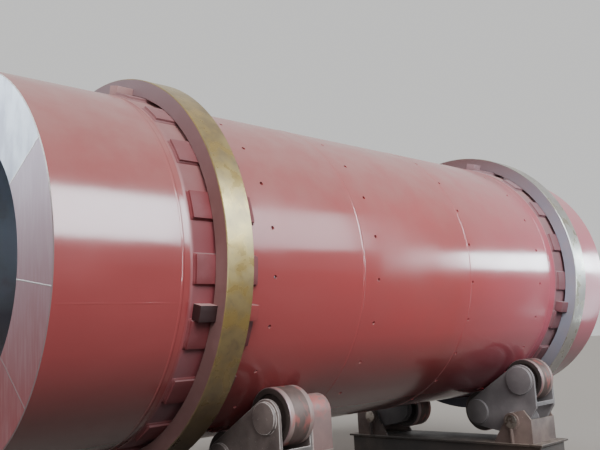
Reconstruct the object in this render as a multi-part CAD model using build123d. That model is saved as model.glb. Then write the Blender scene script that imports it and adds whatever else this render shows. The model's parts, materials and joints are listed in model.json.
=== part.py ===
from build123d import *
import math
import os

# Rotary drum granulator: a welded steel drum with two riding rings,
# lying on two self-aligning turning rolls.
# The origin is on the floor under the middle of the drum. X runs along the drum,
# from its front end at -X to its rear end at +X. The right-hand side is at -Y.
# All sizes are in millimetres and all angles in degrees.

# Drum shell
drum_length = 6190
shell_radius = 1200
shell_thickness = 20
front_course_length = 780
ring_course_length = 1560
course_length = 1350
end_plate_thickness = 16
mouth_radius = 800

# Bolt holes through the shell
bolt_circles = (1486, 2498, 3716, 4846)
bolts_per_circle = 24
bolt_hole_radius = 13
bolt_phase = 8.3

# Riding rings, the pads under them and the stop blocks at their sides
front_ring_centre = 1088
rear_ring_centre = 5398
ring_width = 200
ring_depth = 85
ring_chamfer = 5
pads_per_ring = 20
pad_thickness = 24
pad_arc = 8
pad_overhang = 130
pad_phase = -5
shim_thickness = 30
shim_arc = 6.4
shim_inset = 20
stops_per_side = 4
stop_length = 120
stop_overlap = 16
stop_arc = 4.4
stop_offset = 6.4

# Rollers: the middle of each pair's angle is measured from straight down
front_roller_centre = 1712
rear_roller_centre = 4913
roller_radius = 190
roller_width = 216
roller_chamfer = 6
roller_hub_radius = 85
roller_rim_depth = 42
roller_recess = 14
shaft_radius = 40
shaft_seat_depth = 12
pair_angle = 31.5
pair_half_spread = 11.5

# Rockers: one carries two rollers and turns on a pin
plate_thickness = 24
front_side_gap = 14
rear_side_gap = 44
front_boss_radius = 120
rear_boss_radius = 144
lower_boss_radius = 130
cap_thickness = 24
cap_inset = 18
pivot_offset = 234.7
pivot_plate_radius = 130
pivot_hub_radius = 80
pivot_pin_radius = 45
corner_radius = 40
corner_rise = 135
web_thickness = 16
centre_web_thickness = 20
centre_web_depth = 325

# Reducer housings behind the upper rollers of the front unit
reducer_length = 194
reducer_radius = 120
reducer_drop = 250
reducer_corner = 10

# Pivot brackets
collar_length = 20
cheek_thickness = 20
cheek_outer_reach = 197
cheek_foot_reach = 205
cheek_top_inner = (32, 72)
cheek_top_outer = (-127, 103)
cheek_chamfer_rise = 16
cheek_boss_radius = 78
cheek_boss_thickness = 12
rib_thickness = 16
rib_depth = 34
pin_head_radius = 60
pin_head_thickness = 14
pin_head_gap = 6
pin_end_chamfer = 4

# Base frames
drum_floor_gap = 620
frame_height = 240
frame_width = 500
frame_half_length = 1150
flange_thickness = 20
frame_web_thickness = 16
frame_end_inset = 30

# Clearances
seat_gap = 0.3
running_clearance = 0.05

pad_top_radius = shell_radius + seat_gap + pad_thickness
ring_bore_radius = pad_top_radius + shim_thickness + seat_gap
ring_outer_radius = ring_bore_radius + ring_depth
roller_distance = shell_radius + seat_gap + roller_radius
pivot_distance = roller_distance + pivot_offset
axis_height = shell_radius + drum_floor_gap
frame_top = frame_height - axis_height
drum_frame = Pos(-drum_length / 2, 0, axis_height)
parts = {}


def section(x):
    """The plane across the drum at the distance x behind its front end, in drum coordinates."""
    return Plane.YZ.offset(x)


def band(inner, outer, start, end):
    """A round band about the drum's axis, from start to end."""
    return extrude(section(start) * (Circle(outer) - Circle(inner)), end - start)


def slab(outline, start, end):
    """A flat outline across the drum made into a plate, from start to end."""
    return extrude(section(start) * outline, end - start)


def turn(elevation):
    """Turn a piece drawn towards +Y to an elevation on the right-hand side."""
    return Rot(180 - elevation, 0, 0)


def sector(inner, outer, start, end, arc, elevation):
    """A curved block about the drum's axis, centred on an elevation."""
    length = end - start
    profile = Pos((start + end) / 2, (inner + outer) / 2) * Rectangle(length, outer - inner)
    return turn(elevation + arc / 2) * revolve(profile, axis=Axis.X, revolution_arc=arc)


def below(distance, angle):
    """The Y and Z of a point at an angle from straight down, on the right-hand side."""
    return (-distance * math.sin(math.radians(angle)), -distance * math.cos(math.radians(angle)))


def keep(name, solid):
    """File a piece that was drawn in drum coordinates."""
    parts[name] = drum_frame * solid


def keep_pair(unit, piece, solid):
    """File a piece of a unit's right-hand side and its mirror image on the left."""
    keep(f"{unit}_right_{piece}", solid)
    keep(f"{unit}_left_{piece}", mirror(solid, about=Plane.XZ))


# Drum shell: rolled courses butted end to end between the two end plates
def bolt_holes(centre):
    """The drills for one circle of holes."""
    pitch = 360 / bolts_per_circle
    middle = shell_radius - shell_thickness / 2
    drill = Pos(centre, middle, 0) * Rot(90, 0, 0) * Cylinder(bolt_hole_radius, 2 * shell_thickness)
    return [turn(bolt_phase + pitch * k) * drill for k in range(bolts_per_circle)]


ring_course_end = front_course_length + ring_course_length
plain_courses = math.ceil((drum_length - ring_course_end) / course_length)
seams = [end_plate_thickness, front_course_length]
seams += [ring_course_end + course_length * k for k in range(plain_courses)]
seams += [drum_length - end_plate_thickness]
shell_bore = shell_radius - shell_thickness

for number, (start, end) in enumerate(zip(seams, seams[1:]), 1):
    course = band(shell_bore, shell_radius, start, end)
    for centre in bolt_circles:
        if start < centre < end:
            course = course - bolt_holes(centre)
    keep(f"shell_course_{number}", course)

keep("front_end_plate", band(mouth_radius, shell_radius, 0, end_plate_thickness))
keep("rear_end_plate", band(mouth_radius, shell_radius, drum_length - end_plate_thickness, drum_length))


# Riding rings: each floats on a circle of stepped pads, held endways by stop blocks
def riding_ring(centre):
    ring = band(ring_bore_radius, ring_outer_radius, centre - ring_width / 2, centre + ring_width / 2)
    rims = ring.edges().filter_by(GeomType.CIRCLE).sort_by(lambda edge: edge.radius)[-2:]
    return chamfer(rims, ring_chamfer)


def ring_pads(centre):
    reach = ring_width / 2 + pad_overhang
    shim_reach = ring_width / 2 - shim_inset
    inner = shell_radius + seat_gap
    shim_top = pad_top_radius + shim_thickness
    pitch = 360 / pads_per_ring
    pads = []
    for k in range(pads_per_ring):
        elevation = pad_phase + pitch * k
        pad = sector(inner, pad_top_radius, centre - reach, centre + reach, pad_arc, elevation)
        pad += sector(inner, shim_top, centre - shim_reach, centre + shim_reach, shim_arc, elevation)
        pads.append(pad)
    return Compound(children=pads)


def ring_stops(centre):
    inner = shell_radius + seat_gap
    outer = ring_bore_radius + stop_overlap
    face = ring_width / 2
    pitch = 360 / pads_per_ring
    step = pads_per_ring // stops_per_side
    blocks = []
    for k in range(stops_per_side):
        elevation = pad_phase - pitch + stop_offset + pitch * step * k
        before = (centre - face - stop_length, centre - face)
        behind = (centre + face, centre + face + stop_length)
        for start, end in (before, behind):
            blocks.append(sector(inner, outer, start, end, stop_arc, elevation))
    return Compound(children=blocks)


for end_name, centre in (("front", front_ring_centre), ("rear", rear_ring_centre)):
    keep(f"{end_name}_riding_ring", riding_ring(centre))
    keep(f"{end_name}_ring_pads", ring_pads(centre))
    keep(f"{end_name}_ring_stops", ring_stops(centre))


# Turning rolls
upper_axis = below(roller_distance, pair_angle + pair_half_spread)
lower_axis = below(roller_distance, pair_angle - pair_half_spread)
pivot = below(pivot_distance, pair_angle)


def roller(centre, axis, side_gap):
    """A turned wheel and its shaft, which runs in the rocker's two plates."""
    half = roller_width / 2
    floor = half - roller_recess
    shaft_end = half + side_gap + plate_thickness + shaft_seat_depth - seat_gap
    rim = roller_radius - roller_rim_depth
    profile = Polyline(
        (0, 0), (shaft_end, 0), (shaft_end, shaft_radius), (half, shaft_radius),
        (half, roller_hub_radius), (floor, roller_hub_radius), (floor, rim), (half, rim),
        (half, roller_radius - roller_chamfer), (half - roller_chamfer, roller_radius),
        (0, roller_radius), close=True,
    )
    half_wheel = revolve(make_face(profile), axis=Axis.X)
    wheel = half_wheel + mirror(half_wheel, about=Plane.YZ)
    return Pos(centre, *axis) * wheel


def rocker_outline(boss_radius):
    """Two bosses, a foot round the pivot and an upright outer edge, in one hull."""
    outer = upper_axis[0] - boss_radius + corner_radius
    rounds = [
        Pos(*upper_axis) * Circle(boss_radius),
        Pos(*lower_axis) * Circle(lower_boss_radius),
        Pos(*pivot) * Circle(pivot_plate_radius),
        Pos(outer, pivot[1] + corner_rise) * Circle(corner_radius),
    ]
    return make_hull([edge for circle in rounds for edge in circle.edges()])


def rocker(centre, boss_radius, side_gap):
    """Two plates joined by a pivot hub, an outer web and a web between the rollers."""
    inside = roller_width / 2 + side_gap
    outside = inside + plate_thickness
    outline = rocker_outline(boss_radius)
    hub_end = outside + collar_length - seat_gap
    web_outer = upper_axis[0] - boss_radius
    web_top = upper_axis[1] - roller_radius - web_thickness / 2
    web = Pos(web_outer + web_thickness / 2, (web_top + pivot[1] + corner_rise) / 2)
    web_height = web_top - pivot[1] - corner_rise
    centre_web = Rot(0, 0, 90 - pair_angle) * Pos(centre_web_depth / 2 - pivot_distance, 0)
    body = slab(outline, centre - outside, centre - inside)
    body += slab(outline, centre + inside, centre + outside)
    body += slab(Pos(*pivot) * Circle(pivot_hub_radius), centre - hub_end, centre + hub_end)
    body += slab(web * Rectangle(web_thickness, web_height), centre - inside, centre + inside)
    body += slab(
        centre_web * Rectangle(centre_web_depth, centre_web_thickness),
        centre - inside, centre + inside,
    )
    for axis, radius in ((upper_axis, boss_radius), (lower_axis, lower_boss_radius)):
        cap = Pos(*axis) * Circle(radius - cap_inset)
        body += slab(cap, centre - outside - cap_thickness, centre - outside)
        body += slab(cap, centre + outside, centre + outside + cap_thickness)
    seat = outside + shaft_seat_depth
    for axis in (upper_axis, lower_axis):
        bore = Pos(*axis) * Circle(shaft_radius + running_clearance)
        body -= slab(bore, centre - seat, centre + seat)
    pin_bore = Pos(*pivot) * Circle(pivot_pin_radius + running_clearance)
    return body - slab(pin_bore, centre - hub_end, centre + hub_end)


def reducer(centre, side_gap):
    """A round-topped housing on the back of the rocker, round the upper roller's cap."""
    start = centre + roller_width / 2 + side_gap + plate_thickness
    y, z = upper_axis
    foot = Pos(y, z - reducer_drop / 2) * Rectangle(2 * reducer_radius, reducer_drop)
    outline = foot + Pos(y, z) * Circle(reducer_radius)
    casing = slab(outline, start, start + reducer_length)
    back = casing.faces().sort_by(Axis.X)[-1]
    casing = fillet(back.edges(), reducer_corner)
    pocket = Pos(y, z) * Circle(front_boss_radius - cap_inset + seat_gap)
    return casing - slab(pocket, start, start + cap_thickness + seat_gap)


def bracket(centre, side_gap):
    """Two cheeks on the base frame, joined by a plate down their outer edges."""
    inside = roller_width / 2 + side_gap + plate_thickness + collar_length
    outside = inside + cheek_thickness
    y, z = pivot
    outer = y - cheek_outer_reach
    shoulder = z + cheek_chamfer_rise
    outline = make_face(Polyline(
        (outer, frame_top), (outer, shoulder), (y + cheek_top_outer[0], z + cheek_top_outer[1]),
        (y + cheek_top_inner[0], z + cheek_top_inner[1]), (y + cheek_foot_reach, frame_top),
        close=True,
    ))
    outline += Pos(y, z) * Circle(cheek_boss_radius)
    boss = Pos(y, z) * Circle(cheek_boss_radius)
    rib_height = z - pin_head_radius - pin_head_gap - frame_top
    rib = Pos(y, frame_top + rib_height / 2) * Rectangle(rib_thickness, rib_height)
    face = Pos(outer + web_thickness / 2, (frame_top + shoulder) / 2)
    body = slab(face * Rectangle(web_thickness, shoulder - frame_top), centre - inside, centre + inside)
    for side in (-1, 1):
        near, far = sorted((centre + side * inside, centre + side * outside))
        body += slab(outline, near, far)
        near, far = sorted((centre + side * outside, centre + side * (outside + cheek_boss_thickness)))
        body += slab(boss, near, far)
        near, far = sorted((centre + side * outside, centre + side * (outside + rib_depth)))
        body += slab(rib, near, far)
    reach = outside + rib_depth
    pin_bore = Pos(y, z) * Circle(pivot_pin_radius + running_clearance)
    return body - slab(pin_bore, centre - reach, centre + reach)


def pivot_pin(centre, side_gap):
    """A headed pin through both cheeks and the rocker's hub."""
    reach = roller_width / 2 + side_gap + plate_thickness + collar_length
    reach += cheek_thickness + cheek_boss_thickness
    tip = reach + pin_head_thickness
    profile = Polyline(
        (-tip, 0), (tip, 0), (tip, pivot_pin_radius - pin_end_chamfer),
        (tip - pin_end_chamfer, pivot_pin_radius), (-reach, pivot_pin_radius),
        (-reach, pin_head_radius), (-tip, pin_head_radius), close=True,
    )
    return Pos(centre, *pivot) * revolve(make_face(profile), axis=Axis.X)


def base_frame(centre):
    """A box beam across the drum, with flanges above and below its two webs."""
    long = 2 * frame_half_length
    web_height = frame_height - 2 * flange_thickness
    middle = (frame_top - axis_height) / 2
    web_centre = frame_width / 2 - frame_end_inset - frame_web_thickness / 2
    flange = Box(frame_width, long, flange_thickness)
    body = Pos(centre, 0, frame_top - flange_thickness / 2) * flange
    body += Pos(centre, 0, flange_thickness / 2 - axis_height) * flange
    web = Box(frame_web_thickness, long - 2 * frame_end_inset, web_height)
    for side in (-1, 1):
        body += Pos(centre + side * web_centre, 0, middle) * web
        end = frame_half_length - frame_end_inset - frame_web_thickness / 2
        body += Pos(centre, side * end, middle) * Box(2 * web_centre, frame_web_thickness, web_height)
    return body


units = (
    ("front", front_roller_centre, front_side_gap, front_boss_radius),
    ("rear", rear_roller_centre, rear_side_gap, rear_boss_radius),
)
for unit, centre, side_gap, boss_radius in units:
    keep(f"{unit}_base_frame", base_frame(centre))
    keep_pair(unit, "bracket", bracket(centre, side_gap))
    keep_pair(unit, "pivot_pin", pivot_pin(centre, side_gap))
    keep_pair(unit, "rocker", rocker(centre, boss_radius, side_gap))
    keep_pair(unit, "upper_roller", roller(centre, upper_axis, side_gap))
    keep_pair(unit, "lower_roller", roller(centre, lower_axis, side_gap))
keep_pair("front", "reducer", reducer(front_roller_centre, front_side_gap))

os.makedirs("parts", exist_ok=True)
for name, solid in parts.items():
    export_step(solid, f"parts/{name}.step")
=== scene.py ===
import bmesh
import bpy
import json
import math
import numpy as np
from mathutils import Matrix, Quaternion, Vector, noise

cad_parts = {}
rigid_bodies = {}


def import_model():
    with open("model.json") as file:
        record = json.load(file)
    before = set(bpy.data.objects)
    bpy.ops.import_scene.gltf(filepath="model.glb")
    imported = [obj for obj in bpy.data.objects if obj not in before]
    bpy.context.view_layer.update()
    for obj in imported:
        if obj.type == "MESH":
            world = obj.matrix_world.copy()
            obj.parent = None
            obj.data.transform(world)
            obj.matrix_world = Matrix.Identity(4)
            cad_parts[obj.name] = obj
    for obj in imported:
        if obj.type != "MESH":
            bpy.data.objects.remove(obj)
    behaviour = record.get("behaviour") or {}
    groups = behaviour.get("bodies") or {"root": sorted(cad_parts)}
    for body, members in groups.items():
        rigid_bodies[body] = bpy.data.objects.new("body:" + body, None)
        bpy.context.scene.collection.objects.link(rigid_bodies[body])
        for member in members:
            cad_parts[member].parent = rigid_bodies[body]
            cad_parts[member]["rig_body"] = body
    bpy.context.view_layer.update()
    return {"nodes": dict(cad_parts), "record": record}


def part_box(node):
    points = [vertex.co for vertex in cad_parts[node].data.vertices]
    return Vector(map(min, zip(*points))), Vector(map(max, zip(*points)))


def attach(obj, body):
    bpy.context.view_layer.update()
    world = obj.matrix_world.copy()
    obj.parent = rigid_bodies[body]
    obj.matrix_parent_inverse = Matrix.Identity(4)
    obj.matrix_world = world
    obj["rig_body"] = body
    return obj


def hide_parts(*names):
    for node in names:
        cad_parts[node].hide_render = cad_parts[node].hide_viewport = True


# Rotary drum granulator on two turning rolls, piece by piece in the order it is put together.
# Lengths are in metres. X runs along the drum, and the right-hand side is at -Y.
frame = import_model()


# Base frames
# A box beam lies across the drum under each turning roll, welded from 20 mm flanges, webs and
# end plates. Its brown paint was brushed on, and it is dusty on top and rubbed along the edges.
def linear(code):
    """An sRGB hex colour as a linear one with alpha."""
    values = [int(code[k:k + 2], 16) / 255 for k in (1, 3, 5)]
    return [v / 12.92 if v <= 0.04045 else ((v + 0.055) / 1.055) ** 2.4 for v in values] + [1.0]


def add(tree, kind, inputs=None, out=0, **settings):
    """Adds a shader node and gives its output. An input takes a value or another node's output."""
    node = tree.nodes.new("ShaderNode" + kind)
    for key, value in settings.items():
        setattr(node, key, value)
    for key, value in (inputs or {}).items():
        if isinstance(value, bpy.types.NodeSocket):
            tree.links.new(value, node.inputs[key])
        else:
            node.inputs[key].default_value = value
    return node.outputs[out] if node.outputs else None


def new_finish(name):
    """A new empty material, its nodes, and the place on the piece in metres."""
    made = bpy.data.materials.new(name)
    made.use_nodes = True
    made.node_tree.nodes.clear()
    return made, made.node_tree, add(made.node_tree, "TexCoord", out="Object")


def closed(made, sockets):
    """The material with its surface shader in place."""
    shader = add(made.node_tree, "BsdfPrincipled", sockets)
    add(made.node_tree, "OutputMaterial", {"Surface": shader})
    return made


def patches(tree, place, spacing, low, high, detail=4.0, stretch=(1, 1, 1)):
    """A mask of soft-edged cloudy patches that lie spacing metres apart."""
    spread = add(tree, "Mapping", {"Vector": place, "Scale": stretch})
    cloud = add(tree, "TexNoise", {"Vector": spread, "Scale": 1 / spacing, "Detail": detail}, "Fac")
    return add(tree, "MapRange", {0: cloud, 1: low, 2: high}, interpolation_type="SMOOTHSTEP")


def coats(tree, base, *layers):
    """The base colour with thin coats over it, each a colour that shows where its mask is 1."""
    shown = linear(base)
    for mask, colour in layers:
        shown = add(tree, "Mix", {0: mask, 6: shown, 7: linear(colour)}, 2, data_type="RGBA")
    return shown


def facing_up(tree):
    """How far a surface faces up, from -1 to 1. It stays with a piece that turns."""
    return add(tree, "SeparateXYZ", {0: add(tree, "TexCoord", out="Normal")}, "Z")


def old_paint(name, paint, worn, dust, grease, roughness, smear=None):
    """Brushed oil paint on mild steel, with a smear of another colour round a point if given."""
    # The eye gets a dark, nearly matt coat, clouded by old oil, darker further in under the drum
    # as painted shade, and pale with dust where it faces up. Edges are rubbed to a light line and
    # chips show the metal. Bristle marks are a millimetre or two apart, too fine to show: drawn at
    # 12 mm.
    made, tree, place = new_finish(name)
    cloud = patches(tree, place, 0.22, 0.3, 0.75, 6.0)
    up = add(tree, "MapRange", {0: facing_up(tree), 1: 0.2, 2: 1.0})
    settled = patches(tree, place, 0.05, 0.2, 0.75)
    dusty = add(tree, "Math", {0: up, 1: settled}, operation="MULTIPLY")
    rim = add(tree, "Attribute", out="Fac", attribute_name="edge")
    touched = patches(tree, place, 0.05, 0.3, 0.45)
    rubbed = add(tree, "Math", {0: rim, 1: touched}, operation="MULTIPLY")
    knocks = patches(tree, place, 0.012, 0.68, 0.74)
    chips = add(tree, "Math", {0: knocks, 1: 0.6}, operation="MULTIPLY")
    bare = add(tree, "Math", {0: rubbed, 1: chips}, operation="ADD", use_clamp=True)
    aside = add(tree, "Math", {0: add(tree, "SeparateXYZ", {0: place}, "Y")}, operation="ABSOLUTE")
    # Painted shade: darker further in under the drum, where |Y| is small.
    painted_shade_under_drum = add(tree, "MapRange", {0: aside, 1: 0.92, 2: 0.42, 4: 0.75})
    layers = [(cloud, grease), (dusty, dust), (bare, worn), (painted_shade_under_drum, "#2B2625")]
    if smear:
        both_sides = add(tree, "VectorMath", {0: place}, operation="ABSOLUTE")
        away = add(tree, "VectorMath", {0: both_sides, 1: smear[0]}, "Value", operation="DISTANCE")
        close_by = add(tree, "MapRange", {0: away, 1: 0.13, 2: 0.05})
        ragged = patches(tree, place, 0.05, 0.35, 0.6, 6.0)
        layers.append((add(tree, "Math", {0: close_by, 1: ragged}, operation="MULTIPLY"), smear[1]))
    brush = add(tree, "TexNoise", {"Vector": place, "Scale": 1 / 0.012, "Detail": 3.0}, "Fac")
    return closed(made, {
        "Base Color": coats(tree, paint, *layers),
        "Roughness": add(tree, "MapRange", {0: cloud, 3: roughness, 4: roughness + 0.15}),
        "Normal": add(tree, "Bump", {"Height": brush, "Distance": 0.0006, "Strength": 0.5}),
        "IOR": 1.42,
    })


def ride_as(piece, node):
    """The piece stands for a CAD node: the node is hidden and the piece moves with its body."""
    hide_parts(node)
    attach(piece, frame["nodes"][node]["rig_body"])


def as_object(name, mesh, finishes, crease=35):
    """An object from a bmesh, smooth where its faces meet under the crease angle."""
    data = bpy.data.meshes.new(name)
    mesh.to_mesh(data)
    mesh.free()
    for finish in finishes:
        data.materials.append(finish)
    data.shade_smooth()
    data.set_sharp_from_angle(angle=math.radians(crease))
    piece = bpy.data.objects.new(name, data)
    bpy.context.scene.collection.objects.link(piece)
    return piece


def ease_edges(mesh, ease, weld_within=0.00005, flat_under=1, sharp_over=30):
    """Rounds a mesh's sharp edges as a grinder leaves them, and marks them by the value edge."""
    flat_under, sharp_over = math.radians(flat_under), math.radians(sharp_over)
    bmesh.ops.remove_doubles(mesh, verts=mesh.verts, dist=weld_within)
    bmesh.ops.dissolve_limit(mesh, angle_limit=flat_under, verts=mesh.verts, edges=mesh.edges)
    joined = [e for e in mesh.edges if len(e.link_faces) == 2]
    sharp = [e for e in joined if e.calc_face_angle() > sharp_over]
    for face in mesh.faces:
        face.material_index = 0
    bmesh.ops.bevel(
        mesh, geom=sharp, offset=ease, segments=2, profile=0.6, affect="EDGES",
        clamp_overlap=True, material=1,
    )
    rim = mesh.faces.layers.float.new("edge")
    for face in mesh.faces:
        face[rim] = float(face.material_index)
        face.material_index = 0


def eased(node, ease, finish):
    """A CAD node with eased edges and a finish."""
    mesh = bmesh.new()
    mesh.from_mesh(frame["nodes"][node].data)
    ease_edges(mesh, ease)
    piece = as_object(node + "_finished", mesh, [finish])
    ride_as(piece, node)
    return piece


flame_cut_ease = 0.003
frame_paint = old_paint(
    "brown_brushed_oil_paint", "#4A3C35", "#8A7D73", "#8C7E74", "#332A26", 0.55,
)
for unit in ("front", "rear"):
    eased(f"{unit}_base_frame", flame_cut_ease, frame_paint)


# Pivot brackets
# Two flame-cut cheeks stand on the frame under each rocker, closed by an outer plate and welded
# all round. They carry the rocker's pin in bored bosses, and their brown-grey paint is rubbed.
bracket_paint = old_paint(
    "brown_grey_brushed_paint", "#826F68", "#BCADA2", "#A0917F", "#5A4A45", 0.6,
)
for unit in ("front", "rear"):
    for side in ("right", "left"):
        eased(f"{unit}_{side}_bracket", flame_cut_ease, bracket_paint)


# Pivot pins
# A turned and headed pin of plain carbon steel passes through each pair of cheeks. It isn't
# painted, so it has gone brown, and shows the rings of its facing cut.
pin_ease = 0.0015
pin_feed = 0.002


def turned_pin(name, centre):
    """Turned plain carbon steel that has gone brown."""
    # The eye gets a dull sheen in fine rings about the pin, with brown stains over it. The tool's
    # feed is about 0.3 mm, too fine to show, so the rings are drawn at 2 mm.
    made, tree, place = new_finish(name)
    across = add(tree, "VectorMath", {0: place, 1: (0, -centre[0], -centre[1])}, operation="ADD")
    flat = add(tree, "VectorMath", {0: across, 1: (0, 1, 1)}, operation="MULTIPLY")
    radius = add(tree, "VectorMath", {0: flat}, "Value", operation="LENGTH")
    along = add(tree, "SeparateXYZ", {0: place}, "X")
    cut = add(tree, "CombineXYZ", {0: radius, 1: along})
    rings = add(tree, "TexNoise", {"Vector": cut, "Scale": 1 / pin_feed, "Detail": 2.0}, "Fac")
    cloud = patches(tree, place, 0.05, 0.4, 0.65)
    return closed(made, {
        "Base Color": coats(tree, "#8C837C", (cloud, "#5A4C44")),
        "Metallic": 1.0,
        "Roughness": add(tree, "MapRange", {0: cloud, 3: 0.4, 4: 0.6}),
        "Normal": add(tree, "Bump", {"Height": rings, "Distance": 0.0003, "Strength": 0.4}),
    })


for unit in ("front", "rear"):
    for side in ("right", "left"):
        node = f"{unit}_{side}_pivot_pin"
        low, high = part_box(node)
        centre = ((low.y + high.y) / 2, (low.z + high.z) / 2)
        pin_steel = turned_pin(f"turned_pin_steel_{unit}_{side}", centre)
        eased(node, pin_ease, pin_steel)


# Rockers
# Two flame-cut side plates with bored bosses are welded to a pivot hub and two webs, so that the
# pair of wheels can tip to suit the drum. The old enamel is rubbed bright on the plate edges.
roll_paint = {
    "front": old_paint(
        "grey_mauve_machine_enamel", "#80736F", "#C8BFBB", "#938986", "#554B49", 0.6,
    ),
    # The rear unit's enamel is a lighter, greyer copy of the front one's: painted light for the
    # haze over the far unit.
    "rear": old_paint(
        "grey_machine_enamel_with_painted_haze", "#857F80", "#9F9A9B", "#857F81", "#6C6668", 0.6,
    ),
}
for unit in ("front", "rear"):
    for side in ("right", "left"):
        eased(f"{unit}_{side}_rocker", flame_cut_ease, roll_paint[unit])


# Reducers
# The front unit's upper wheels are driven, so a cast housing with a round top sits on the back of
# each rocker. Its beige-brown paint carries smears of the drum's red primer.
cast_ease = 0.008
smeared = ((1.14, 1.03, 0.87), "#B06660")
casing_paint = old_paint(
    "beige_brown_casing_enamel", "#8E6D69", "#B8A29D", "#A28A85", "#7A605C", 0.6, smeared,
)
for side in ("right", "left"):
    eased(f"front_{side}_reducer", cast_ease, casing_paint)


# Wheels
# Each wheel is turned from forged steel, with a recess between its hub and its rim. The tread is
# worn smooth and light, with smears of the drum's red primer, and the sides have gone dark.
tread_width = 0.216
tread_ease = 0.006
wheel_rim_depth = 0.042
wheel_recess = 0.014
wheel_hub_radius = 0.085
wheel_shaft_radius = 0.040
wheel_corner = 0.002
wheel_fillet = 0.004
centre_drill = 0.0005
wheel_steps = 96
raised_band = (0.066, 0.070)
tolerance = 0.0001


def skin(mesh, rows, closed=False):
    """Faces between rows of points that go round, capped, or closed from last to first."""
    made = []
    for first, second in zip(rows, rows[1:] + (rows[:1] if closed else [])):
        for k in range(len(first)):
            after = (k + 1) % len(first)
            made.append(mesh.faces.new((first[k], first[after], second[after], second[k])))
    if not closed:
        made += [mesh.faces.new(rows[0]), mesh.faces.new(list(reversed(rows[-1])))]
    return made


def turned(mesh, outline, centre, steps):
    """Turns a closed outline of (x, radius) pairs about a line along X, and adds it to the mesh."""
    angles = [math.tau * k / steps for k in range(steps)]
    circle = [(math.cos(angle), math.sin(angle)) for angle in angles]
    y, z = centre
    rings = [[mesh.verts.new((x, y + r * c, z + r * s)) for c, s in circle] for x, r in outline]
    return skin(mesh, rings, closed=True)


def turning_marks(tree, place, spacing):
    """Fine lines round an axis along X, spacing metres apart, as a lathe leaves them."""
    round_it = add(tree, "Mapping", {"Vector": place, "Scale": (1, 0.02, 0.02)})
    return add(tree, "TexNoise", {"Vector": round_it, "Scale": 1 / spacing, "Detail": 2.0}, "Fac")


def rolled_tread(name, middle):
    """Forged steel, turned and then rolled smooth by the drum."""
    # The eye gets a soft grey-brown sheen, a lighter, slightly higher band along each edge, and
    # pink-red smears of primer. Turning marks are a third of a millimetre apart: drawn at 4 mm.
    made, tree, place = new_finish(name)
    cloud = patches(tree, place, 0.09, 0.3, 0.7, 6.0)
    smear = patches(tree, place, 0.10, 0.52, 0.66, 6.0, (1.6, 0.7, 0.7))
    thin = add(tree, "Math", {0: smear, 1: 0.7}, operation="MULTIPLY")
    along = add(tree, "SeparateXYZ", {0: place}, "X")
    from_middle = add(tree, "Math", {0: along, 1: middle}, operation="SUBTRACT")
    from_middle = add(tree, "Math", {0: from_middle}, operation="ABSOLUTE")
    banded = add(tree, "MapRange", {0: from_middle, 1: raised_band[0], 2: raised_band[1]})
    step = add(tree, "Bump", {"Height": banded, "Distance": 0.002, "Strength": 0.6})
    lines = turning_marks(tree, place, 0.004)
    return closed(made, {
        "Base Color": coats(
            tree, "#65524D", (cloud, "#55443F"), (banded, "#937D78"), (thin, "#A25650"),
        ),
        "Metallic": 0.25,
        "Roughness": 0.65,
        "Specular IOR Level": 0.3,
        "Normal": add(
            tree, "Bump", {"Height": lines, "Distance": 0.0003, "Strength": 0.4, "Normal": step},
        ),
    })


def rubbed_steel(name, light, dark, roughness, highlight_above=1.55, highlight_gone_below=1.15, shine=0.5):
    """Steel ground or rubbed bright."""
    # The eye gets a light metal line that breaks up into duller spots a couple of centimetres long,
    # and fades between two heights into a duller mauve: a painted highlight, bright only above.
    made, tree, place = new_finish(name)
    spots = patches(tree, place, 0.02, 0.4, 0.7)
    height = add(tree, "SeparateXYZ", {0: place}, "Z")
    below_painted_highlight = add(tree, "MapRange", {0: height, 1: highlight_above, 2: highlight_gone_below, 4: 0.95})
    return closed(made, {
        "Base Color": coats(tree, light, (spots, dark), (below_painted_highlight, "#80676A")),
        "Metallic": add(tree, "MapRange", {0: below_painted_highlight, 3: shine, 4: 0.6 * shine}),
        "Roughness": roughness,
    })


wheel_side = old_paint("dark_wheel_enamel", "#3D3431", "#8B8078", "#5B504B", "#2A2321", 0.55)
wheel_edge = rubbed_steel("rubbed_wheel_edge", "#C2B5AF", "#93847E", 0.4)
for unit in ("front", "rear"):
    low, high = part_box(f"{unit}_right_upper_roller")
    wheel_tread = rolled_tread(f"rolled_tread_steel_{unit}", (low.x + high.x) / 2)
    for side in ("right", "left"):
        for level in ("upper", "lower"):
            node = f"{unit}_{side}_{level}_roller"
            low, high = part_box(node)
            centre = ((low.y + high.y) / 2, (low.z + high.z) / 2)
            middle = (low.x + high.x) / 2
            radius = (high.z - low.z) / 2
            half = tread_width / 2
            shaft = (high.x - low.x) / 2
            rim = radius - wheel_rim_depth
            sunk = half - wheel_recess
            quarter = [
                (half - tread_ease, radius), (half - wheel_corner, radius - wheel_corner),
                (half, radius - tread_ease), (half, rim + wheel_corner),
                (half - wheel_corner, rim), (sunk, rim - wheel_fillet),
                (sunk, wheel_hub_radius + wheel_fillet), (half - wheel_corner, wheel_hub_radius),
                (half, wheel_hub_radius - wheel_corner), (half, wheel_shaft_radius),
                (shaft - wheel_corner, wheel_shaft_radius),
                (shaft, wheel_shaft_radius - wheel_corner), (shaft, centre_drill),
            ]
            outline = [(middle + x, r) for x, r in quarter]
            outline += [(middle - x, r) for x, r in reversed(quarter)]
            mesh = bmesh.new()
            for face in turned(mesh, outline, centre, wheel_steps):
                radii = [math.hypot(v.co.y - centre[0], v.co.z - centre[1]) for v in face.verts]
                rolled = min(radii) > radius - tolerance
                at_edge = min(radii) > radius - tread_ease - tolerance
                face.material_index = 0 if rolled else 2 if at_edge else 1
            bmesh.ops.recalc_face_normals(mesh, faces=mesh.faces)
            piece = as_object(node + "_finished", mesh, [wheel_tread, wheel_side, wheel_edge])
            ride_as(piece, node)


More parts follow.
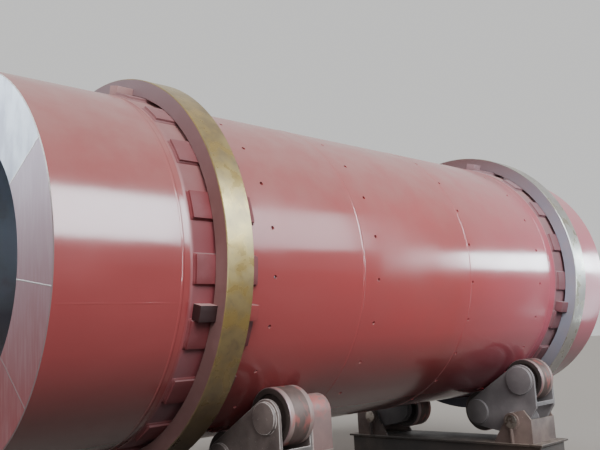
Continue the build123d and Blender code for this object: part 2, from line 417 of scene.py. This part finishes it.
# Shell courses
# Five rolled plates, 20 mm thick, are butted end to end. Outside they are sprayed with gloss red
# oxide primer, which shows the plate's slight waves; inside they keep their blue-grey mill scale.
drum_low, drum_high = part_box("shell_course_1")
drum_radius = (drum_high.z - drum_low.z) / 2
axis_height = (drum_high.z + drum_low.z) / 2
drum_axis = (0.0, axis_height)
drum_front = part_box("front_end_plate")[0].x
plate_thickness = 0.020
shell_steps = 288
bolt_circles = (1.486, 2.498, 3.716, 4.846)
bolts_per_circle = 24
bolt_phase = 8.3
bolt_sides = 20
ring_zone_lead = 0.04
ring_zone_reach = (0.13, 0.09)
rolled_facing = 0.9
painted_depth = 0.002


def mount_radius(name):
    """The radius of a mount in the record."""
    mount = next(m for m in frame["record"]["mounts"] if m["name"] == name)
    return mount["dims"]["r_mm"] / 1000


def primer(name):
    """Gloss red oxide primer, sprayed."""
    # The eye gets a glossy red with long soft streaks from the gun, paler and duller where it faces
    # up with dust, partly a painted sheen of the bright sky, darker underneath as painted shade,
    # lighter and pinker towards the rear as painted light for the haze, and mauve beside each ring,
    # where it was brushed matt, partly as painted shade and reflection of the ring's dark side.
    # Highlights waver with the plate's long waves. Orange peel is 2 to 4 mm, too fine to show:
    # drawn at 8 mm.
    made, tree, place = new_finish(name)
    streaks = patches(tree, place, 0.30, 0.3, 0.7, stretch=(0.35, 1, 1))
    streaks_over = add(tree, "Math", {0: streaks, 1: 0.5}, operation="MULTIPLY")
    dull = patches(tree, place, 0.9, 0.45, 0.75)
    half_dull = add(tree, "Math", {0: dull, 1: 0.5}, operation="MULTIPLY")
    along = add(tree, "SeparateXYZ", {0: place}, "X")
    # Painted light for the haze: the red grows lighter from the middle and pinker towards the rear.
    middle = add(tree, "MapRange", {0: along, 1: -2.0, 2: 0.0})
    rearward_painted_haze = add(tree, "MapRange", {0: along, 1: 0.4, 2: 2.8})
    facing = facing_up(tree)
    # Dust where it faces up, and partly a painted sheen of the bright sky.
    up = add(tree, "MapRange", {0: facing, 1: 0.05, 2: 0.9})
    settled = add(tree, "MapRange", {0: patches(tree, place, 0.2, 0.2, 0.8), 3: 0.45, 4: 0.8})
    dust = add(tree, "Math", {0: up, 1: settled}, operation="MULTIPLY")
    # Painted shade: darker where the shell faces down.
    painted_shade_below = add(tree, "MapRange", {0: facing, 1: -0.45, 2: -0.75, 4: 0.55})
    # Mauve beside each ring: partly painted shade and reflection of the ring's dark side, the rear
    # band greyer as painted haze. The matt roughness there is the brushed paint.
    brushed_and_shaded = {}
    for end in ("front", "rear"):
        ring_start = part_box(f"{end}_riding_ring")[0].x
        off = add(tree, "Math", {0: along, 1: ring_start - ring_zone_lead}, operation="SUBTRACT")
        off = add(tree, "Math", {0: off}, operation="ABSOLUTE")
        brushed_and_shaded[end] = add(tree, "MapRange", {0: off, 1: ring_zone_reach[0], 2: ring_zone_reach[1]})
    either = add(tree, "Math", {0: brushed_and_shaded["front"], 1: brushed_and_shaded["rear"]}, operation="MAXIMUM")
    by_hand = add(tree, "Math", {0: either, 1: 0.95}, operation="MULTIPLY")
    matt = add(tree, "Math", {0: dust, 1: dull}, operation="ADD", use_clamp=True)
    sprayed = add(tree, "MapRange", {0: matt, 3: 0.14, 4: 0.26})
    waves = add(tree, "TexNoise", {"Vector": place, "Scale": 1 / 0.35, "Detail": 1.0}, "Fac")
    wide = add(tree, "Bump", {"Height": waves, "Distance": 0.004, "Strength": 0.4})
    peel = add(tree, "TexNoise", {"Vector": place, "Scale": 1 / 0.008, "Detail": 2.0}, "Fac")
    return closed(made, {
        "Base Color": coats(
            tree, "#B14F51", (middle, "#D05256"), (streaks_over, "#BE5659"),
            (half_dull, "#BC5A5A"), (rearward_painted_haze, "#EC8096"), (brushed_and_shaded["front"], "#934A50"),
            (brushed_and_shaded["rear"], "#96696F"), (dust, "#C4A19C"), (painted_shade_below, "#3A3434"),
        ),
        "Roughness": add(tree, "Math", {0: sprayed, 1: by_hand}, operation="MAXIMUM"),
        "Normal": add(
            tree, "Bump", {"Height": peel, "Distance": 0.0002, "Strength": 0.5, "Normal": wide},
        ),
        "IOR": 1.5,
    })


def mill_scale(name, scale, rusty):
    """Hot-rolled steel as it came from the mill."""
    # The eye gets a rough, hardly metallic blue-grey skin with brown rust coming through in
    # patches, darker low down as painted shade, and a fine pitting of a few millimetres: drawn at
    # 20 mm.
    made, tree, place = new_finish(name)
    rust = patches(tree, place, 0.25, 0.5, 0.75)
    height = add(tree, "SeparateXYZ", {0: place}, "Z")
    # Painted shade: darker low down inside.
    painted_shade_low_inside = add(tree, "MapRange", {0: height, 1: 2.25, 2: 1.6, 4: 0.9})
    pits = add(tree, "TexNoise", {"Vector": place, "Scale": 1 / 0.02, "Detail": 5.0}, "Fac")
    return closed(made, {
        "Base Color": coats(tree, scale, (rust, rusty), (painted_shade_low_inside, "#3C3034")),
        "Metallic": 0.2,
        "Roughness": 0.6,
        "Normal": add(tree, "Bump", {"Height": pits, "Distance": 0.0008, "Strength": 0.5}),
    })


def direction(elevation):
    """A unit vector out from the drum's axis, at an elevation on the right-hand side."""
    angle = math.radians(elevation)
    return Vector((0, -math.cos(angle), math.sin(angle)))


def bolt_cutter(x):
    """The drills for one circle of bolt holes, as one mesh."""
    mesh = bmesh.new()
    for k in range(bolts_per_circle):
        out = direction(bolt_phase + 360 / bolts_per_circle * k)
        turn = Vector((0, 0, 1)).rotation_difference(out).to_matrix().to_4x4()
        middle = Vector((x, 0, axis_height)) + out * (drum_radius - plate_thickness / 2)
        bmesh.ops.create_cone(
            mesh, segments=bolt_sides, radius1=bolt_radius, radius2=bolt_radius,
            depth=3 * plate_thickness, cap_ends=True, matrix=Matrix.Translation(middle) @ turn,
        )
    return as_object("bolt_cutter", mesh, [])


def round_normals(piece):
    """Gives the rolled faces the normals of a true cylinder, so that the gloss runs unbroken."""
    mesh = piece.data
    normals = np.zeros((len(mesh.loops), 3))
    points = np.array([v.co for v in mesh.vertices])
    for face in mesh.polygons:
        middle = Vector((0, face.center.y, face.center.z - axis_height))
        facing = face.normal.dot(middle.normalized())
        for corner in face.loop_indices:
            point = points[mesh.loops[corner].vertex_index]
            if abs(facing) > rolled_facing:
                radial = math.copysign(1, facing) * np.array([0, point[1], point[2] - axis_height])
                normals[corner] = radial / np.linalg.norm(radial)
            else:
                normals[corner] = face.normal
    mesh.normals_split_custom_set([tuple(n) for n in normals])


red_primer = primer("gloss_red_oxide_primer")
# Both colours are much paler than real mill scale: painted light for the dim inside of the drum.
inner_scale = mill_scale("hot_rolled_mill_scale", "#C8CFDC", "#B3ACAE")
courses = [f"shell_course_{k}" for k in range(1, 6)]
bolt_radius = mount_radius("liner_bolt_01")
inner = drum_radius - plate_thickness
for node in courses:
    low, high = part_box(node)
    mesh = bmesh.new()
    outline = [(low.x, inner), (low.x, drum_radius), (high.x, drum_radius), (high.x, inner)]
    turned(mesh, outline, drum_axis, shell_steps)
    bmesh.ops.recalc_face_normals(mesh, faces=mesh.faces)
    piece = as_object(node + "_finished", mesh, [red_primer, inner_scale])
    for place in bolt_circles:
        if low.x < drum_front + place < high.x:
            cutter = bolt_cutter(drum_front + place)
            drilled = piece.modifiers.new("drilled", "BOOLEAN")
            drilled.operation = "DIFFERENCE"
            drilled.solver = "EXACT"
            drilled.object = cutter
            graph = bpy.context.evaluated_depsgraph_get()
            whole = bpy.data.meshes.new_from_object(piece.evaluated_get(graph))
            piece.modifiers.clear()
            piece.data = whole
            bpy.data.objects.remove(cutter)
    # The paint is on the outside and went into the bolt holes, but not onto the ends or the inside.
    for face in piece.data.polygons:
        away = math.hypot(face.center.y, face.center.z - axis_height)
        facing = face.normal.y * face.center.y + face.normal.z * (face.center.z - axis_height)
        from_end = min(abs(face.center.x - low.x), abs(face.center.x - high.x))
        drilled_edge = abs(facing) < rolled_facing * away and from_end > tolerance
        outside = away > drum_radius - painted_depth
        face.material_index = 0 if drilled_edge or outside else 1
    round_normals(piece)
    ride_as(piece, node)


# Seam welds
# The courses are joined by submerged-arc welds, which stand a few millimetres proud as a smooth
# bead. They are painted with the shell, and catch a thin line of light along one side.
bead_width = 0.020
bead_height = 0.0020
bead_steps = 480
bead_root = 0.002
bead_drift = 0.0012
bead_swell = 0.35
closing_width = 0.012
closing_height = 0.0004
closing_step = 0.015
closing_drift = 0.0015
closing_swell = 1.2


def wander(angle, pitch, seed):
    """A smooth value from -1 to 1 that drifts round the drum."""
    return noise.noise(Vector((math.cos(angle), math.sin(angle), 0)) / pitch + Vector((0, 0, seed)))


def seam_bead(name, x, finish):
    """A low dome round the drum that wanders and swells by a millimetre or so."""
    mesh = bmesh.new()
    across = [-1, -0.8, -0.5, -0.2, 0.2, 0.5, 0.8, 1]
    dome = [(u, (1 - u ** 4) * (1 - 0.3 * u * u)) for u in across]
    outline = [(x + u * bead_width / 2, drum_radius + bead_height * h) for u, h in dome]
    outline += [(x + side * bead_width / 2, drum_radius - bead_root) for side in (1, -1)]
    turned(mesh, outline, drum_axis, bead_steps)
    for vert in mesh.verts:
        angle = math.atan2(vert.co.z - axis_height, vert.co.y)
        away = math.hypot(vert.co.y, vert.co.z - axis_height)
        vert.co.x += bead_drift * wander(angle, 0.06, x)
        if away > drum_radius + tolerance:
            lift = 1 + (away - drum_radius) * bead_swell * wander(angle, 0.03, x + 7) / away
            vert.co.y *= lift
            vert.co.z = axis_height + (vert.co.z - axis_height) * lift
    bmesh.ops.recalc_face_normals(mesh, faces=mesh.faces)
    piece = as_object(name, mesh, [finish], crease=60)
    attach(piece, "drum")


def closing_bead(name, x0, x1, elevation, finish):
    """The low bead along a course, where its plate was closed into a ring."""
    out = direction(elevation)
    aside = out.cross(Vector((1, 0, 0)))
    section = ((-1, -0.5), (-0.9, 0.15), (-0.5, 0.8), (0, 1), (0.5, 0.8), (0.9, 0.15), (1, -0.5))
    mesh = bmesh.new()
    rows = []
    steps = round((x1 - x0) / closing_step)
    for k in range(steps + 1):
        x = x0 + (x1 - x0) * k / steps
        drift = closing_drift * noise.noise(Vector((x * 9, elevation, 0)))
        swell = 1 + closing_swell * noise.noise(Vector((x * 9, elevation, 3)))
        row = []
        for u, h in section:
            turned_by = (drift + u * closing_width / 2) / drum_radius
            away = drum_radius + h * closing_height * swell
            spot = out * math.cos(turned_by) + aside * math.sin(turned_by)
            row.append(mesh.verts.new(Vector((x, 0, axis_height)) + spot * away))
        rows.append(row)
    skin(mesh, rows)
    bmesh.ops.recalc_face_normals(mesh, faces=mesh.faces)
    piece = as_object(name, mesh, [finish], crease=60)
    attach(piece, "drum")


closing_turns = (-14.3, 171.0, 203.0, 164.0, 198.0)
clear = bead_width / 2
for k, (node, elevation) in enumerate(zip(courses, closing_turns), 1):
    low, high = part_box(node)
    closing_bead(f"plate_weld_{k}", low.x + clear, high.x - clear, elevation, red_primer)
for k, node in enumerate(courses[1:], 1):
    seam_bead(f"seam_weld_{k}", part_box(node)[0].x, red_primer)


# End plates
# Each end is closed by a flat ring of 16 mm plate, welded up from ten segments. The segments'
# welds and the rim were ground flush, and show as white lines on the bare, brushed plate: a
# painted highlight, bright at the top and duller lower down.
mouth_radius = mount_radius("front_mouth")
mouth_ease = 0.002
rim_ease = 0.005
rim_tolerance = 0.0005
segments = 10
segment_turns = (28.7, -10.1, -42.2)
segment_weld_width = 0.009
segment_weld_height = 0.001
segment_weld_steps = 24
segment_weld_drift = 0.002
segment_weld_swell = 0.3


def bare_plate(name):
    """Bare plate gone over with a flap disc."""
    # The eye gets a silvery face with vertical brushed streaks, and a mauve film of primer dust
    # that dulls it: none on the top segments, a haze on the next ones, and thicker towards the
    # bottom, where the mauve is partly a painted red reflection. Disc marks are 0.2 mm apart, too
    # fine to show: drawn at 4 mm.
    made, tree, place = new_finish(name)
    cloud = patches(tree, place, 0.16, 0.35, 0.65, stretch=(1, 1, 0.5))
    height = add(tree, "SeparateXYZ", {0: place}, "Z")
    low_down = add(tree, "MapRange", {0: height, 1: axis_height + 0.9, 2: axis_height - 0.7})
    tilt = math.radians(segment_turns[0])
    square_to_weld = (0, math.sin(tilt), math.cos(tilt))
    over = add(
        tree, "VectorMath", {0: place, 1: square_to_weld}, "Value", operation="DOT_PRODUCT",
    )
    weld_line = axis_height * math.cos(tilt)
    haze = add(tree, "MapRange", {0: over, 1: weld_line + 0.004, 2: weld_line - 0.004})
    # Primer dust thickening towards the bottom, its mauve partly a painted red reflection.
    film = add(tree, "MapRange", {0: height, 1: axis_height + 0.42, 2: axis_height - 0.7})
    uneven = add(tree, "MapRange", {0: cloud, 3: 0.9, 4: 1.0})
    film = add(tree, "Math", {0: film, 1: uneven}, operation="MULTIPLY")
    streaks = patches(tree, place, 0.02, 0.4, 0.75, stretch=(1, 1, 0.12))
    faint = add(tree, "Math", {0: streaks, 1: 0.07}, operation="MULTIPLY")
    upright = add(tree, "Mapping", {"Vector": place, "Scale": (1, 1, 0.08)})
    lines = add(tree, "TexNoise", {"Vector": upright, "Scale": 1 / 0.004, "Detail": 3.0}, "Fac")
    return closed(made, {
        "Base Color": coats(
            tree, "#DCE0EC", (cloud, "#B4B4C4"), (haze, "#B09DA9"), (film, "#934B50"),
            (faint, "#DAD5DB"),
        ),
        "Metallic": add(tree, "MapRange", {0: low_down, 3: 0.85, 4: 0.05}),
        "Roughness": add(tree, "MapRange", {0: streaks, 3: 0.42, 4: 0.36}),
        "Specular IOR Level": 0.25,
        "Normal": add(tree, "Bump", {"Height": lines, "Distance": 0.0004, "Strength": 0.15}),
    })


def segment_weld(mesh, face, outward, elevation, number):
    """A weld between two segments, ground nearly flush with the plate."""
    out = direction(elevation)
    aside = out.cross(Vector((1, 0, 0)))
    section = ((-1, -1), (-0.8, 0.6), (0, 1), (0.8, 0.6), (1, -1))
    start, end = mouth_radius + mouth_ease, drum_radius - rim_ease
    rows = []
    for k in range(segment_weld_steps + 1):
        away = start + (end - start) * k / segment_weld_steps
        middle = Vector((face, 0, axis_height)) + out * away
        middle += aside * segment_weld_drift * noise.noise(Vector((away * 14, number, 0)))
        swell = 1 + segment_weld_swell * noise.noise(Vector((away * 30, number, 5)))
        half = segment_weld_width / 2 * swell
        row = []
        for u, h in section:
            proud = Vector((outward * segment_weld_height * h, 0, 0))
            row.append(mesh.verts.new(middle + aside * half * u + proud))
        rows.append(row)
    skin(mesh, rows)


end_finish = bare_plate("flap_ground_bare_plate")
# The welds and rim are white as painted highlights, bright only towards the top.
bright_weld = rubbed_steel("ground_weld_metal", "#FFFFFF", "#E8DFDF", 0.4, 2.2, 1.35, 0.75)
bright_rim = rubbed_steel("ground_plate_rim", "#FFFFFF", "#E8DFDF", 0.45, 2.25, 1.95, 0.1)
unseen_welds = range(1, segments - len(segment_turns) + 1)
weld_turns = [*segment_turns, *(segment_turns[-1] - 360 / segments * k for k in unseen_welds)]
for end, outward in (("front", -1), ("rear", 1)):
    node = f"{end}_end_plate"
    low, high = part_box(node)
    weld_top, back = (low.x, high.x) if outward < 0 else (high.x, low.x)
    face = weld_top - outward * segment_weld_height
    outline = [
        (back, mouth_radius), (face - outward * mouth_ease, mouth_radius),
        (face, mouth_radius + mouth_ease), (face, drum_radius - rim_ease),
        (face - outward * rim_ease, drum_radius), (back, drum_radius),
    ]
    mesh = bmesh.new()
    for part in turned(mesh, outline, drum_axis, shell_steps):
        radii = [math.hypot(v.co.y, v.co.z - axis_height) for v in part.verts]
        in_front = (part.calc_center_median().x - (back + face) / 2) * outward > 0
        past_ease = min(radii) > drum_radius - rim_ease - rim_tolerance
        at_edge = past_ease and max(radii) > drum_radius - rim_tolerance
        at_mouth = max(radii) < mouth_radius + mouth_ease + rim_tolerance
        ground = at_mouth or at_edge and in_front
        part.material_index = 1 if ground else 2 if at_edge else 0
    bmesh.ops.recalc_face_normals(mesh, faces=mesh.faces)
    piece = as_object(node + "_finished", mesh, [end_finish, bright_rim, red_primer], crease=30)
    ride_as(piece, node)
    mesh = bmesh.new()
    for number, elevation in enumerate(weld_turns):
        segment_weld(mesh, face, outward, elevation, number)
    bmesh.ops.recalc_face_normals(mesh, faces=mesh.faces)
    piece = as_object(f"{end}_segment_welds", mesh, [bright_weld], crease=60)
    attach(piece, "drum")


# Ring pads
# Curved pads of 24 mm plate are welded round the shell under each ring, with gaps between them
# for air. They are painted by brush, over the fillet welds along their edges.
pads_per_ring = 20
pad_arc = 8.0
pad_phase = -5.0
pad_foot = 0.0003
pad_top = 0.0243
pad_ease = 0.002
pad_steps = 4
pad_weld = 0.010
pad_weld_points = (20, 8)
pad_weld_root = 0.002
pad_weld_lip = 0.0005
pad_weld_waver = 0.0008


def shop_primer(name, colour, patch, pale):
    """A thin coat of primer laid on by brush."""
    # The eye gets a dull, patchy coat, paler and greyer towards the top and on upper faces, with
    # dust and painted light from above, and darker low down as painted shade.
    made, tree, place = new_finish(name)
    cloud = patches(tree, place, 0.15, 0.4, 0.7)
    height = add(tree, "SeparateXYZ", {0: place}, "Z")
    # Painted light and dust: paler towards the top and on faces that look up.
    painted_light_high_up = add(tree, "MapRange", {0: height, 1: axis_height + 0.3, 2: axis_height + 1.3})
    upper = add(tree, "MapRange", {0: facing_up(tree), 1: 0.4, 2: 0.9})
    dusty = add(tree, "Math", {0: painted_light_high_up, 1: upper}, operation="MAXIMUM")
    # Painted shade: darker low down.
    painted_shade_below = add(tree, "MapRange", {0: height, 1: axis_height - 0.2, 2: axis_height - 0.9, 4: 0.6})
    return closed(made, {
        "Base Color": coats(tree, colour, (cloud, patch), (dusty, pale), (painted_shade_below, "#3A2A29")),
        "Roughness": 0.6,
        "Specular IOR Level": 0.15,
    })


def edge_loop(x0, x1, start, end, radius, shift):
    """Points round a pad's outline on the shell, moved out from it by shift."""
    turn = math.degrees(shift / radius)
    x0, x1, start, end = x0 - shift, x1 + shift, start - turn, end + turn
    corners = [(x0, start), (x1, start), (x1, end), (x0, end)]
    sides = zip(corners, corners[1:] + corners[:1], pad_weld_points * 2)
    points = []
    for (xa, ta), (xb, tb), count in sides:
        for k in range(count):
            x, turned_by = xa + (xb - xa) * k / count, ta + (tb - ta) * k / count
            points.append(Vector((x, 0, axis_height)) + direction(turned_by) * radius)
    return points


def fillet_weld(mesh, x0, x1, start, end, seed):
    """A closed bead round a plate that lies on the shell."""
    top, foot = drum_radius + pad_weld, drum_radius - pad_weld_root
    levels = (
        (-pad_weld_root, top), (pad_weld_lip, top),
        (pad_weld * 0.45, drum_radius + pad_weld * 0.5),
        (pad_weld, drum_radius), (pad_weld, foot), (-pad_weld_root, foot),
    )
    out = direction((start + end) / 2)
    loops = []
    for shift, away in levels:
        loop = edge_loop(x0, x1, start, end, away, shift)
        if shift > pad_weld_lip:
            for k, point in enumerate(loop):
                waver = noise.noise(Vector((k * 0.7, seed, shift * 400)))
                point += out * pad_weld_waver * waver
        loops.append([mesh.verts.new(p) for p in loop])
    skin(mesh, loops, closed=True)


def curved_pad(mesh, x0, x1, start, end):
    """A plate rolled to the shell, from one elevation to another."""
    section = [(x0, pad_foot), (x1, pad_foot), (x1, pad_top), (x0, pad_top)]
    rows = []
    for k in range(pad_steps + 1):
        out = direction(start + (end - start) * k / pad_steps)
        rows.append([
            mesh.verts.new(Vector((x, 0, axis_height)) + out * (drum_radius + rise))
            for x, rise in section
        ])
    skin(mesh, rows)


pad_middles = [pad_phase + 360 / pads_per_ring * k for k in range(pads_per_ring)]
pad_spans = [(middle - pad_arc / 2, middle + pad_arc / 2) for middle in pad_middles]
pad_paint = {
    # The front pads' dark mauve is their primer darkened as painted shade beside the ring.
    "front": shop_primer("mauve_brushed_primer", "#8A4549", "#945156", "#A88486"),
    # The rear pads are a paler, greyer copy of the front ones: painted light for the haze.
    "rear": shop_primer("mauve_brushed_primer_with_painted_haze", "#96686F", "#9E7279", "#B0949A"),
}
for end in ("front", "rear"):
    node = f"{end}_ring_pads"
    low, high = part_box(node)
    mesh = bmesh.new()
    for span in pad_spans:
        curved_pad(mesh, low.x, high.x, *span)
    bmesh.ops.recalc_face_normals(mesh, faces=mesh.faces)
    ease_edges(mesh, pad_ease)
    piece = as_object(node + "_finished", mesh, [pad_paint[end]])
    ride_as(piece, node)
    mesh = bmesh.new()
    for k, span in enumerate(pad_spans):
        fillet_weld(mesh, low.x, high.x, *span, k)
    bmesh.ops.recalc_face_normals(mesh, faces=mesh.faces)
    piece = as_object(f"{end}_pad_welds", mesh, [pad_paint[end]], crease=60)
    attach(piece, "drum")


# Riding rings
# Each ring is forged and turned, 200 mm wide, and floats on the pads. Its rolling face is bright
# under yellow-green grease, and its sides have a thin coat of mauve-brown shop primer.
ring_ease = 0.005
ring_clearance = 0.0003
ring_bore = drum_radius + pad_top + ring_clearance


def greased_face(name, film, thin, blotch, grit_and_shade):
    """Turned steel under a film of yellow-green grease."""
    # The eye gets a wet sheen over an olive-brown film, yellower in blotches where it is thick,
    # with specks of grit, and darker low down as painted shade. Turning marks are a third of a
    # millimetre
    # apart: drawn at 6 mm.
    made, tree, place = new_finish(name)
    cloud = patches(tree, place, 0.16, 0.35, 0.65)
    thick = patches(tree, place, 0.12, 0.45, 0.68, 8.0)
    grains = patches(tree, place, 0.04, 0.5, 0.8)
    specks = add(tree, "Math", {0: grains, 1: 0.3}, operation="MULTIPLY")
    height = add(tree, "SeparateXYZ", {0: place}, "Z")
    # Painted shade: darker low down, in the grit colour.
    painted_shade_low = add(tree, "MapRange", {0: height, 1: axis_height - 0.15, 2: axis_height - 1.1, 4: 0.9})
    lines = turning_marks(tree, place, 0.006)
    cut = add(tree, "Bump", {"Height": lines, "Distance": 0.0003, "Strength": 0.5})
    return closed(made, {
        "Base Color": coats(
            tree, film, (cloud, thin), (thick, blotch), (specks, grit_and_shade), (painted_shade_low, grit_and_shade),
        ),
        "Metallic": 0.35,
        "Roughness": add(tree, "MapRange", {0: thick, 3: 0.36, 4: 0.22}),
        "Coat Weight": 0.2,
        "Coat Roughness": 0.18,
        "Normal": add(
            tree, "Bump", {"Height": thick, "Distance": 0.0006, "Strength": 0.4, "Normal": cut},
        ),
    })


ring_face = {
    "front": greased_face("greased_turned_steel", "#A08A56", "#87724A", "#AC9150", "#4B3D31"),
    # The rear ring's face is greyer and paler: thinner grease, and partly painted haze.
    "rear": greased_face("thinly_greased_steel_with_painted_haze", "#A6A29E", "#97928C", "#A49D86", "#8D8885"),
}
ring_side = {
    "front": shop_primer("mauve_shop_primer", "#906B69", "#9A7573", "#9F8A90"),
    # The rear ring's sides are pale slate blue as painted light for the haze at the far end.
    "rear": shop_primer("shop_primer_with_painted_blue_haze", "#BCC3D6", "#C4C4D2", "#8C6F70"),
}
for end in ("front", "rear"):
    node = f"{end}_riding_ring"
    low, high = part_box(node)
    outer = (high.z - low.z) / 2
    outline = [
        (low.x + ring_ease, ring_bore), (low.x, ring_bore + ring_ease), (low.x, outer - ring_ease),
        (low.x + ring_ease, outer), (high.x - ring_ease, outer), (high.x, outer - ring_ease),
        (high.x, ring_bore + ring_ease), (high.x - ring_ease, ring_bore),
    ]
    mesh = bmesh.new()
    for face in turned(mesh, outline, drum_axis, shell_steps):
        radii = [math.hypot(v.co.y, v.co.z - axis_height) for v in face.verts]
        past_ease = min(radii) > outer - ring_ease - tolerance
        rolling = past_ease and max(radii) > outer - tolerance
        face.material_index = 0 if rolling else 1
    bmesh.ops.recalc_face_normals(mesh, faces=mesh.faces)
    piece = as_object(node + "_finished", mesh, [ring_face[end], ring_side[end]], crease=30)
    ride_as(piece, node)


# Stop blocks
# Flame-cut blocks are welded between the pads, close against the ring's sides, so that it can't
# creep along the drum. Those in front of a ring have a dull coat, laid on by brush, and are dark
# as painted shade, with faces that look up pale as painted light.
stop_ease = 0.002
# Dark as painted shade, with faces that look up pale as painted light.
stop_paint = shop_primer("dark_primer_with_painted_shade", "#402A2B", "#33201F", "#C79F9D")
for end in ("front", "rear"):
    brushed_coat = stop_paint if end == "front" else pad_paint["rear"]
    piece = eased(f"{end}_ring_stops", stop_ease, brushed_coat)
    piece.data.materials.append(red_primer)
    ring_middle = sum(corner.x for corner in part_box(f"{end}_riding_ring")) / 2
    for face in piece.data.polygons:
        face.material_index = 1 if face.center.x > ring_middle else 0


# Studio
# A pale floor and a pale surround. Three broad suns light all that is matt. Windows on the
# right-hand side, one on the left and a doorway in front show only in gloss paint, grease and
# metal, and one light inside the rear mouth falls on the bare wall.
camera_place = Vector((-4.8625, -4.682, 1.2801))
camera_yaw = math.radians(44.9645)
camera_pitch = math.radians(8.5912)
camera_roll = math.radians(-3.1771)
camera_lens = 45.85
ahead = Vector((
    math.cos(camera_yaw) * math.cos(camera_pitch), math.sin(camera_yaw) * math.cos(camera_pitch),
    math.sin(camera_pitch),
))
level = ahead.cross(Vector((0, 0, 1))).normalized()
upright = level.cross(ahead)
right = level * math.cos(camera_roll) + upright * math.sin(camera_roll)
above = upright * math.cos(camera_roll) - level * math.sin(camera_roll)
camera = bpy.data.objects.new("camera", bpy.data.cameras.new("camera"))
camera.data.sensor_width = 36
camera.data.lens = camera_lens
facing = Matrix((right, above, -ahead)).transposed().to_4x4()
camera.matrix_world = Matrix.Translation(camera_place) @ facing
bpy.context.scene.collection.objects.link(camera)
bpy.context.scene.camera = camera


def soft_window(name, centre, towards, size, power, lean=0):
    """A rectangular light that only shiny surfaces show, turned in its plane by lean degrees."""
    data = bpy.data.lights.new(name, "AREA")
    data.shape = "RECTANGLE"
    data.size, data.size_y = size
    data.color = (0.78, 0.93, 1.0)
    data.energy = power
    lamp = bpy.data.objects.new(name, data)
    lamp.location = centre
    lamp.rotation_mode = "QUATERNION"
    turn = Quaternion((0, 0, 1), math.radians(lean))
    lamp.rotation_quaternion = (Vector(centre) - Vector(towards)).to_track_quat("Z", "Y") @ turn
    lamp.visible_diffuse = False
    lamp.visible_camera = False
    bpy.context.scene.collection.objects.link(lamp)
    return lamp


def sky(name, towards, spread, strength):
    """A sun lamp as broad as a bright sky, which lights the floor evenly."""
    data = bpy.data.lights.new(name, "SUN")
    data.angle = math.radians(spread)
    data.energy = strength
    lamp = bpy.data.objects.new(name, data)
    lamp.rotation_mode = "QUATERNION"
    lamp.rotation_quaternion = Vector(towards).to_track_quat("Z", "Y")
    lamp.visible_glossy = False
    bpy.context.scene.collection.objects.link(lamp)


def seen_mask(tree):
    """Where a surface is seen, straight or in something shiny, and not as light on another."""
    path = tree.nodes.new("ShaderNodeLightPath").outputs
    either = {0: path["Is Glossy Ray"], 1: path["Is Transmission Ray"]}
    shiny = add(tree, "Math", either, operation="MAXIMUM")
    return add(tree, "Math", {0: path["Is Camera Ray"], 1: shiny}, operation="MAXIMUM")


soft_window("long_window", (1.0, -9.0, 6.1), (1.0, -1.2, 1.9), (6.8, 4.8), 2950)
soft_window("dim_window", (6.9, -9.0, 6.1), (6.9, -1.2, 1.9), (5.0, 4.8), 640, 8)
soft_window("low_window", (-1.3, -9.0, 1.6), (-1.3, -1.2, 1.6), (1.4, 2.8), 360)
soft_window("far_window", (16.4, -8.5, 4.0), (1.5, -1.2, 1.9), (5.0, 2.4), 1200)
soft_window("end_window", (6.0, -2.45, 1.3), (2.8, -1.2, 1.3), (0.6, 2.4), 20)
soft_window("left_window", (-7.0, 9.0, 6.4), (-3.0, 0.0, 2.2), (9.0, 5.0), 420)
soft_window("doorway", (-10.5, -10.2, 1.9), (0.0, 0.0, 1.6), (4.0, 3.2), 320)
rear_mouth = (3.05, 0, axis_height)
mouth_light = soft_window("rear_mouth_light", rear_mouth, (0, 0, axis_height), (1.1, 1.1), 45)
mouth_light.visible_diffuse = True
sky("key_sky", (-0.3, -0.72, 0.58), 36, 2.7)
sky("front_sky", (-0.85, -0.52, 0.15), 50, 0.8)
sky("back_sky", (0.25, 0.8, 0.45), 60, 0.9)

world = bpy.data.worlds.new("surround")
bpy.context.scene.world = world
world.use_nodes = True
tree = world.node_tree
tree.nodes.clear()
glow = add(tree, "Background", {"Color": linear("#E4E4E3"), "Strength": 0.35})
shown = add(tree, "Background", {"Color": linear("#E4E4E3"), "Strength": 1.0})
mixed = add(tree, "MixShader", {0: seen_mask(tree), 1: glow, 2: shown})
add(tree, "OutputWorld", {"Surface": mixed})

# Matt screed: the eye gets a plain pale floor, and it throws little light back up on the drum.
floor_paint, tree, place = new_finish("pale_floor")
tone = coats(tree, "#2C2A28", (seen_mask(tree), "#BAB5AF"))
closed(floor_paint, {"Base Color": tone, "Roughness": 1.0, "Specular IOR Level": 0.0})
floor_reach = 80
mesh = bmesh.new()
bmesh.ops.create_grid(mesh, x_segments=1, y_segments=1, size=floor_reach)
floor = as_object("floor", mesh, [floor_paint])
